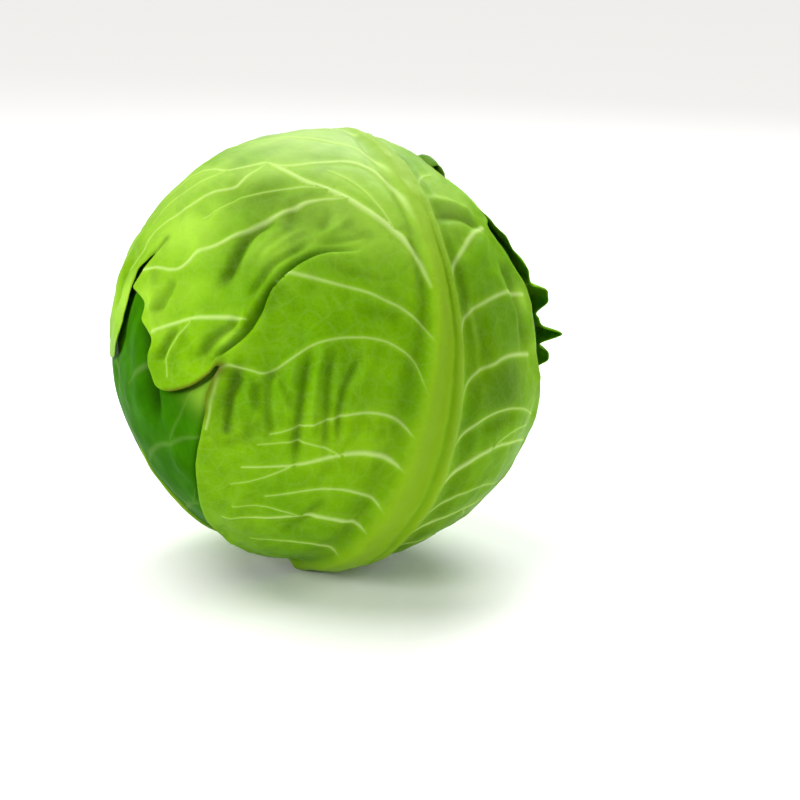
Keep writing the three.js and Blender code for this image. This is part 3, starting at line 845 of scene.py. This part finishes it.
# Painted light: soft lighter patches on the lobe, the flap, the left limb and the right limb.
light = patches(flat, [
    (-61, 28, 11, 0.5), (-66, 8, 9, 0.18), (-42, 14, 5, 0.3), (-74, 2, 6, 0.25), (-55, -8, 4, 0.3),
    (-76, 10, 6, 0.35), (-91, 17, 9, 0.4), (32, 3, 4, 0.5), (36, -10, 3, 0.3)])
dry = hump(to_edge, 0.75) * ease(flat[:, 0], -76, -71) * ease(-flat[:, 0], 52, 54) \
    * ease(-flat[:, 1], 12.6, 14) * ease(flat[:, 1], -34, -27)
thickness = RIM_THICKNESS + BLADE_GAIN * ease(to_edge, 0, 6) + RIB_GAIN * on_rib
front_mesh = close_blade("front_leaf_blade", front, flat, triangles, relief.lift, relief.slide, thickness,
                         HEAD_RADIUS, edge_count,
                         {"vein_gap": vein_gap, "vein_girth": vein_girth, "rib": on_rib, "hollow": hollow,
                          "light": light * (1 - on_rib), "bead": np.clip(bead_line + 0.5 * left_bead, 0, 1),
                          "groove": groove_line, "dry": dry})
dress_leaf("front_leaf_blade", front_mesh, "front_leaf", front_finish)

# ---- Back leaf -----------------------------------------------------------------------------------------
# The second leaf, which wraps the whole back of the head. Its near margin, on the right, is ruffled and
# turned out, so that a few dark points of it stand out beside the front leaf.


def oval_margin(plane, azimuth, base, tip, left, right, widest, seed, wave=1.1):
    """A leaf's margin from its ends and half widths, a little wavy, closed by its foot on the stem."""
    foot = 16
    turns = np.linspace(0, math.pi, 30)
    up = widest - np.where(turns < math.pi / 2, widest + base, tip - widest) * np.cos(turns)
    sides = []
    for way, width in ((1, right), (-1, left)):
        narrow = np.where(turns < math.pi / 2, foot, 0)
        out = way * (narrow + (width - narrow) * np.sin(turns) ** 0.85)
        sides.append(np.stack([out, up], 1)[up > 4 - base])
    line = np.vstack([sides[0], sides[1][-2::-1]])
    ends = ease(line[:, 1], 12 - base, 40 - base)[:, None]
    ripple = np.stack([soft_noise(line, 13, seed), soft_noise(line, 13, seed + 7)], 1)
    return np.vstack([line + wave * ends * ripple, plane.foot(azimuth, half_turn=60, count=7)[::-1]])


def tuck(relief, plane, covers, swell, sink=1.3, rise=5.0):
    """Keeps a blade low under the leaves over it, and lets it swell out beyond their margins."""
    towards = plane.wrap(relief.flat)
    free = np.ones(len(towards))
    for over, over_margin in covers:
        there = over.spread(towards)
        edge = smooth_line(over_margin, 3, closed=True)
        gap, _, _ = beside(there, np.vstack([edge, edge[:1]]))
        free = np.minimum(free, ease(np.where(inside(there, edge), -gap, gap), -1.0, rise))
    relief.lift = free * (relief.lift + swell) + (1 - free) * (0.25 * np.minimum(relief.lift, 0) - sink)
    return free


class WrapperLeaf:
    """A leaf under the front one: its blade, veins and midrib, before its own folds are added."""

    def __init__(self, plane, margin, rib, veins, finish, step, folds=(), height=1.0):
        self.plane, self.finish = plane, finish
        lines = [(vein[0], 0.5) for vein in veins] + [(fold, 0.4) for fold in folds]
        self.flat, self.triangles = cut_blade(margin, lines, step)
        self.edge_count = len(smooth_line(margin, step * EDGE_STEP, closed=True))
        lift, self.gap, self.girth = raise_veins(finish.name, self.flat, self.triangles, veins, finish,
                                                 ridge=0.7, trough=0.9, trough_width=4.0)
        self.relief = Relief(self.flat)
        across, wide = rib_shape(self.flat, rib)
        self.rib = ease(across, -0.2, 0.2) * ease(1 - across, -0.2, 0.2) * ease(wide, 0.6, 3.0)
        crown = self.rib * (1.1 + 0.5 * np.cos((across - 0.5) * math.pi)) * np.clip(wide / 8, 0.3, 1.3)
        sides = 0.7 * (hump(across + 0.35, 0.3) + hump(across - 1.35, 0.3)) * ease(wide, 0.6, 3.0)
        self.relief.lift += (lift + crown - sides) * height
        self.relief.lift += 0.6 * soft_noise(self.flat, 19, len(veins)) + 0.3 * soft_noise(self.flat, 7, step)
        self.light = np.zeros(len(self.flat))
        self.to_edge = distance_to(self.flat[:self.edge_count], self.flat)

    def places(self):
        """The azimuth and elevation of each point of the blade."""
        x, y, z = self.plane.wrap(self.flat).T
        return np.degrees(np.arctan2(x, -y)), np.degrees(np.arcsin(np.clip(z, -1, 1)))

    def dress(self, name, node, radius):
        hollow = np.clip(self.relief.hollow, 0, 1) * (1 - self.rib)
        thickness = RIM_THICKNESS + BLADE_GAIN * ease(self.to_edge, 0, 6) + WRAPPER_RIB_GAIN * self.rib
        mesh = close_blade(name, self.plane, self.flat, self.triangles, self.relief.lift, self.relief.slide,
                           thickness, radius, self.edge_count,
                           {"vein_gap": self.gap, "vein_girth": self.girth, "rib": self.rib, "hollow": hollow,
                            "light": self.light})
        return dress_leaf(name, mesh, node, self.finish)


back = LeafPlane(azimuth=176, lean=-8, centre=20)
back_margin = oval_margin(back, 176, base=108, tip=72, left=82, right=84, widest=-6, seed=3.1, wave=1.6)
BACK_RIB = [(-106, -11, 11), (-60, -7, 7), (-20, -4.4, 4.4), (20, -2.6, 2.6), (50, -1.2, 1.2),
            (72, -0.2, 0.2)]
back_veins = rule_veins(back_margin, 4, first=-74, last=56, gap=21, reach=76, seed=11)
back_finish = leaf_finish("back_leaf_green", srgb(122, 182, 16), srgb(94, 156, 5))
back_leaf = WrapperLeaf(back, back_margin, BACK_RIB, back_veins, back_finish, step=0.95)
free = tuck(back_leaf.relief, back, [(front, front_margin)], swell=1.4)
azimuth, elevation = back_leaf.places()
near_edge = hump(back_leaf.to_edge, 7)
turned_out = 11.6 * hump(elevation - 2.2, 1.9) + 1.4 * hump(elevation - 21, 6) - 2.2 * hump(elevation - 3, 12)
for place, rise, width in ((13.2, 6.6, 3.5), (6.2, 1.6, 1.8), (-3.6, 5.0, 2.5), (-13, 2.4, 4)):
    turned_out += rise * np.exp(-(((elevation - place) / width) ** 4))
back_leaf.relief.lift += turned_out * near_edge * hump(azimuth - 92, 13)
back_leaf.relief.lift += free * hump(back_leaf.to_edge, 3) * (0.5 + 0.9 * soft_noise(back_leaf.flat, 6, 8.8))
# The rim bits: two crinkles of the back leaf's margin, each with painted shade round it.
RIM_BITS = [([(14.6, 54), (17.4, 50.6), (17.4, 46), (18.6, 41)], 4.6), ([(23.4, 33), (26, 29.6),
            (28, 26)], 4.0)]
for rim, rise in RIM_BITS:
    crinkle = back.spread(front.wrap(rim))
    back_leaf.relief.ridge(crinkle, rise, 2.1, 0.15, 0.15)
    gap, _, _ = beside(back_leaf.flat, smooth_line(crinkle, 1.5))
    back_leaf.relief.hollow = np.maximum(back_leaf.relief.hollow, 0.6 * hump(gap, 2.6))
back_leaf.dress("back_leaf_blade", "back_leaf", HEAD_RADIUS - BAND)

# ---- Left leaf -----------------------------------------------------------------------------------------
# The darker leaf that shows between the front leaf's flap and the strip at its left. It is smoother and
# duller than the others, with a few long soft folds and a deep crease where it goes in under the flap.

left = LeafPlane(azimuth=-64, lean=6, centre=15)
left_margin = oval_margin(left, -64, base=103, tip=80, left=62, right=60, widest=-4, seed=5.3)
LEFT_RIB = [(-103, -10, 10), (-70, -6, 6), (-48, -2.6, 2.6), (-34, -0.6, 0.6), (0, -0.3, 0.3),
            (80, -0.2, 0.2)]
left_veins = rule_veins(left_margin, 3, first=-72, last=50, gap=22, reach=56, seed=12)
LEFT_WRINKLES = [
    ([(-81, 16), (-84, 13), (-88, 9), (-93, 5), (-99, 0), (-104, -6), (-106, -17), (-108, -28)], -0.8, 2.2),
    ([(-84, 17), (-88, 12.6), (-92, 8.6), (-97, 3)], 0.8, 1.5),
    ([(-84.4, 9), (-86, 2), (-86.6, -6), (-87.4, -16), (-88, -26), (-88, -38)], 1.1, 3.4),
    ([(-80.6, 12), (-81, 2), (-80.4, -6), (-80.4, -16), (-80.4, -26), (-80, -38)], -3.0, 1.9),
    ([(-93, -8), (-95, -18), (-96, -30)], 0.5, 2.8),
    ([(-74, -30), (-73, -42), (-70, -56)], 1.0, 2.6),
]
left_folds = [left.spread(front.wrap(line)) for line, _, _ in LEFT_WRINKLES]
# Darker greens than the other leaves: painted shade, as this leaf lies in the shade under the flap.
left_finish = leaf_finish("left_leaf_green", srgb(56, 122, 1), srgb(40, 98, 0), vein_strength=0.12,
                          gloss=0.004)
left_leaf = WrapperLeaf(left, left_margin, LEFT_RIB, left_veins, left_finish, step=0.95,
                        folds=left_folds[:4], height=0.5)
free = tuck(left_leaf.relief, left, [(front, front_margin), (back, back_margin)], swell=3.0, rise=2.6)
under_strip = ease(-front.spread(left.wrap(left_leaf.flat))[:, 0], 82, 88)
left_leaf.relief.lift += 2.1 * (1 - free) * under_strip
for line, (_, height, width) in zip(left_folds, LEFT_WRINKLES):
    left_leaf.relief.ridge(line, height, width, 0.1, 0.3)
# Painted light: a lighter patch on this leaf between the flap and the hood.
spot = left.spread(front.wrap([(-62, -23)]))[0]
left_leaf.light = patches(left_leaf.flat, [(*spot, 6, 0.4)])
left_leaf.dress("left_leaf_blade", "left_leaf", HEAD_RADIUS - 2 * BAND)

# ---- Right leaf ----------------------------------------------------------------------------------------
# The leaf on the right flank, which shows as a narrow dark strip between the front leaf's edge and the
# back leaf's. It is made like the back leaf and lies lower than both.

right = LeafPlane(azimuth=92, lean=5, centre=15)
right_margin = oval_margin(right, 92, base=103, tip=78, left=60, right=60, widest=0, seed=7.7)
RIGHT_RIB = [(-103, -10, 10), (-70, -6, 6), (-50, -4, 4), (-20, -2, 2), (30, -1, 1), (78, -0.2, 0.2)]
right_veins = rule_veins(right_margin, 3, first=-72, last=50, gap=22, reach=54, seed=13)
right_finish = leaf_finish("right_leaf_green", srgb(90, 152, 8), srgb(70, 130, 3), vein_strength=0.8)
right_leaf = WrapperLeaf(right, right_margin, RIGHT_RIB, right_veins, right_finish, step=1.05)
tuck(right_leaf.relief, right, [(front, front_margin), (back, back_margin)], swell=3.6)
right_leaf.dress("right_leaf_blade", "right_leaf", HEAD_RADIUS - 3 * BAND)

# ---- Stem and core -------------------------------------------------------------------------------------
# The solid stem that every leaf grows from. It was cut square with a knife, so its end shows the pale pith
# and the ring of fibre bundles; inside the head it tapers to a point. The head stands on the cut.

CORE_SIDE = [(15.4, 0.0), (16.4, 0.25), (16.95, 0.9), (17.3, 2.4), (18.0, 7.5), (18.5, 19.2),
             (18.2, 28), (17.0, 38), (14.8, 48), (12.4, 60), (9.6, 74), (6.6, 86), (3.4, 93.6)]
CORE_TOP = 95.8
CUT_FACE = [(0.0, 0.55), (3.0, 0.5), (6.5, 0.36), (9.6, 0.22), (11.6, 0.12), (13.6, 0.03)]
TURNS = 96  # points round the stem
around = np.arange(TURNS) * 2 * math.pi / TURNS
core_verts, rows = [], []
for radius, height in CUT_FACE[1:] + CORE_SIDE:
    rows.append(len(core_verts))
    wobble = 1 + 0.016 * np.sin(around * 3 + 0.4) + 0.011 * np.sin(around * 5 + height * 0.05)
    fluting = 1 + 0.012 * np.sin(around * 13) * min(height / 3, 1)
    for turn, share in zip(around, wobble * fluting):
        out = radius * share
        core_verts.append((out * math.sin(turn) * MM, -out * math.cos(turn) * MM, height * MM))
core_faces = []
for low, high in zip(rows, rows[1:]):
    for i in range(TURNS):
        j = (i + 1) % TURNS
        core_faces.append((low + i, low + j, high + j, high + i))
core_verts += [(0, 0, CUT_FACE[0][1] * MM), (0, 0, CORE_TOP * MM)]
for i in range(TURNS):
    j = (i + 1) % TURNS
    core_faces += [(len(core_verts) - 2, j, i), (len(core_verts) - 1, rows[-1] + i, rows[-1] + j)]
core_mesh = plain_mesh("core_stem_cut", core_verts, core_faces)
for face in core_mesh.polygons:
    face.use_smooth = True

PITH, PITH_PALE, WOODY_RING = srgb(226, 226, 190), srgb(240, 242, 214), srgb(196, 186, 130)
STEM_SKIN, CUT_BROWNING = srgb(176, 196, 118), srgb(186, 158, 104)


def stem_finish():
    """Cut stem: pale pith, a ring of wood, a green skin, and a little browning on the cut."""
    f = Finish("cut_stem")
    here = f.place()
    flat_place = f.vector("MULTIPLY", here, (1, 1, 0))
    off_middle = f.node("ShaderNodeVectorMath", {0: flat_place}, output="Value", operation="LENGTH") * 1000
    fibre = f.noise(f.vector("MULTIPLY", here, (1, 1, 0.12)), 900.0, 3.0)
    cells = f.node("ShaderNodeTexVoronoi", {"Vector": flat_place, "Scale": 520.0})
    blotch = f.noise(here, 110.0, 3.0)
    height_up = f.height(here) * 1000
    ring = off_middle.ramp(9.6, 11.0) * (1 - off_middle.ramp(13.0, 14.2)) * (1 - height_up.ramp(0.6, 1.2))
    skin = off_middle.ramp(15.4, 16.8) * (1 - height_up.ramp(6, 14))
    browned = blotch.ramp(0.56, 0.72) * (1 - height_up.ramp(0.4, 1.0)) * 0.45
    colour = f.mix(blotch.ramp(0.3, 0.7), PITH, PITH_PALE)
    colour = f.mix(ring * (0.55 - cells * 0.3), colour, WOODY_RING)
    colour = f.mix(skin * 0.8, colour, STEM_SKIN)
    colour = f.mix(browned, colour, CUT_BROWNING)
    return f.finish(Base_Color=colour, Roughness=0.55 + fibre * 0.15,
                    Normal=f.bump(fibre * 0.6 + cells * 0.5, 0.4, 0.4 * MM), Subsurface_Weight=0.1,
                    Subsurface_Radius=(1.0, 0.8, 0.4), Subsurface_Scale=0.002)


core_mesh.materials.append(stem_finish())
core_piece = piece_of("core_stem_cut", core_mesh)
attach(core_piece, "root")
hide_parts("core_stem")

fibre_look = Finish("fibre_end")
speck = fibre_look.noise(fibre_look.place(), 1400.0, 2.0)
fibre_finish = fibre_look.finish(Base_Color=fibre_look.mix(speck, srgb(186, 172, 112), srgb(222, 216, 168)),
                                 Roughness=0.6)


FIBRE_ENDS = 44
FIBRE_SHIFT = 0.7 * MM  # how far an end may lie off the ring


def fibre_tree():
    """A ring of small flattened beads, one at the cut end of each fibre bundle."""
    tree, node, given = empty_tree("fibre_ring", [
        ("Bundles", "Int", FIBRE_ENDS), ("Ring Radius", "Float", 11.8 * MM),
        ("Bead Radius", "Float", 0.55 * MM), ("Height", "Float", 0.3 * MM)])

    def random_vector(least, most, seed):
        return node("FunctionNodeRandomValue", {0: least, 1: most, "Seed": seed}, data_type="FLOAT_VECTOR")

    ring = node("GeometryNodeMeshCircle", {"Vertices": given["Bundles"], "Radius": given["Ring Radius"]})
    lifted = node("ShaderNodeCombineXYZ", {"Z": given["Height"]})
    jitter = random_vector((-FIBRE_SHIFT, -FIBRE_SHIFT, 0), (FIBRE_SHIFT, FIBRE_SHIFT, 0), seed=5)
    moved = node("ShaderNodeVectorMath", {0: lifted, 1: jitter}, operation="ADD")
    placed = node("GeometryNodeSetPosition", {"Geometry": ring, "Offset": moved})
    bead = node("GeometryNodeMeshIcoSphere", {"Radius": given["Bead Radius"], "Subdivisions": 2})
    size = random_vector((0.6, 0.6, 0.3), (1.3, 1.3, 0.42), seed=8)
    beads = node("GeometryNodeInstanceOnPoints", {"Points": placed, "Instance": bead, "Scale": size})
    return close_tree(tree, node, beads, given["Material"])


seed_piece = piece_of("fibre_seed", plain_mesh("fibre_seed", [(0, 0, 0)], []))
fibre_mesh = run_nodes(seed_piece, fibre_tree(), {"Bundles": FIBRE_ENDS, "Material": fibre_finish})
bpy.data.objects.remove(seed_piece)
fibre_mesh.name = "stem_fibre_ends"
fibre_piece = piece_of("stem_fibre_ends", fibre_mesh)
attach(fibre_piece, "root")

# ---- Leaves under the shown ones -----------------------------------------------------------------------
# Two more outer leaves and the heart: pale, crisp leaves packed one in another round the core, paler
# towards the middle because no light reaches them.


def inner_finish(name, outer, deep):
    """Pale inner leaf: a soft drift between two tones and a faint net of veins."""
    f = Finish(name)
    here = f.place()
    drift = f.noise(here, 30.0, 4.0, 0.6)
    line = 1 - f.cracks(f.bent(here, 26.0, 0.02), 90.0).ramp(0.0, 0.1)
    colour = f.mix(drift.ramp(0.35, 0.68), outer, deep)
    colour = f.mix(line * 0.3, colour, srgb(240, 246, 208))
    return f.finish(Base_Color=colour, Roughness=0.4 + drift * 0.12,
                    Normal=f.bump(drift * 0.8 + line * 0.3, 0.35, 0.6 * MM), Subsurface_Weight=0.12,
                    Subsurface_Radius=(0.5, 1.0, 0.2), Subsurface_Scale=0.002, Specular_IOR_Level=0.45)


under_finish = inner_finish("under_leaf_green", srgb(142, 190, 60), srgb(168, 208, 92))
heart_finish = inner_finish("heart_leaf_cream", srgb(214, 226, 140), srgb(236, 238, 180))
UNDER_LEAVES = ("back_left_leaf", "inner_front_leaf")
HEART = tuple(f"heart_leaf_{number:02d}" for number in range(1, 10)) + ("heart_bud",)
for name in UNDER_LEAVES + HEART:
    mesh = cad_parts[name].data
    mesh.materials.clear()
    mesh.materials.append(under_finish if name in UNDER_LEAVES else heart_finish)

# ---- Table, light and camera ---------------------------------------------------------------------------
# A plain pale table, one broad soft window light from above and behind, three small lamps that lift the
# shoulder, the front and the ruffled side, and the camera a little above the middle of the head.


def put_light(name, size, power, place, colour):
    lamp = bpy.data.lights.new(name, "AREA")
    lamp.shape, lamp.size, lamp.energy, lamp.color = "DISK", size, power, colour
    light = bpy.data.objects.new(name, lamp)
    bpy.context.scene.collection.objects.link(light)
    light.location = place
    light.rotation_euler = (Vector(HEAD_MIDDLE) - Vector(place)).to_track_quat("-Z", "Y").to_euler()


TABLE = 7  # metres from its middle to each side
TABLE_WHITE = (0.98, 0.98, 0.98)
corners = [(x * TABLE, y * TABLE, 0) for x, y in ((-1, -1), (1, -1), (1, 1), (-1, 1))]
floor_mesh = plain_mesh("table", corners, [(0, 1, 2, 3)])
floor = piece_of("table", floor_mesh)
floor_mesh.materials.append(Finish("table_white").finish(Base_Color=TABLE_WHITE, Roughness=0.8))

WINDOW_POWER = 2.42
WINDOW_SPREAD = 46  # degrees
WINDOW_FALL = (0.42, -0.02, -1.0)
sun = bpy.data.lights.new("window_light", "SUN")
sun.energy, sun.angle, sun.color = WINDOW_POWER, math.radians(WINDOW_SPREAD), (1.0, 0.99, 0.96)
window = bpy.data.objects.new("window_light", sun)
bpy.context.scene.collection.objects.link(window)
window.rotation_euler = Vector(WINDOW_FALL).to_track_quat("-Z", "Y").to_euler()
for name, size, power, place, colour in (
        ("shoulder_light", 0.6, 8.0, (0.25, 0.6, 0.75), (1.0, 1.0, 1.0)),
        ("front_light", 0.5, 8.2, (-0.8, -0.8, 0.6), (1.0, 1.0, 0.98)),
        ("side_light", 0.3, 2.3, (0.75, 0.05, 0.3), (1.0, 1.0, 1.0))):
    put_light(name, size, power, place, colour)
# The room's own light is weak, and the room looks plain white.
ROOM_LIGHT, ROOM_WHITE = 0.2, 1.0
world = bpy.data.worlds.new("room")
world.use_nodes = True
room = world.node_tree
background = room.nodes["Background"]
background.inputs["Color"].default_value = (1, 1, 1, 1)
seen = room.nodes.new("ShaderNodeLightPath").outputs["Is Camera Ray"]
strength = room.nodes.new("ShaderNodeMapRange")
strength.inputs["To Min"].default_value = ROOM_LIGHT
strength.inputs["To Max"].default_value = ROOM_WHITE
room.links.new(seen, strength.inputs["Value"])
room.links.new(strength.outputs[0], background.inputs["Strength"])
bpy.context.scene.world = world
bpy.context.scene.view_settings.view_transform = "Standard"

CAMERA_TILT = 15  # degrees above level
CAMERA_DISTANCE = 0.82
FOCAL_LENGTH, SENSOR_WIDTH = 89.25, 36  # millimetres
FRAMING = (0.0913, -0.0688)
lens = bpy.data.cameras.new("camera")
lens.lens, lens.sensor_width = FOCAL_LENGTH, SENSOR_WIDTH
lens.shift_x, lens.shift_y = FRAMING
camera = bpy.data.objects.new("camera", lens)
bpy.context.scene.collection.objects.link(camera)
camera.location = Vector(HEAD_MIDDLE) + Vector(unit(0, CAMERA_TILT)) * CAMERA_DISTANCE
camera.rotation_euler = (math.radians(90 - CAMERA_TILT), 0, 0)
bpy.context.scene.camera = camera
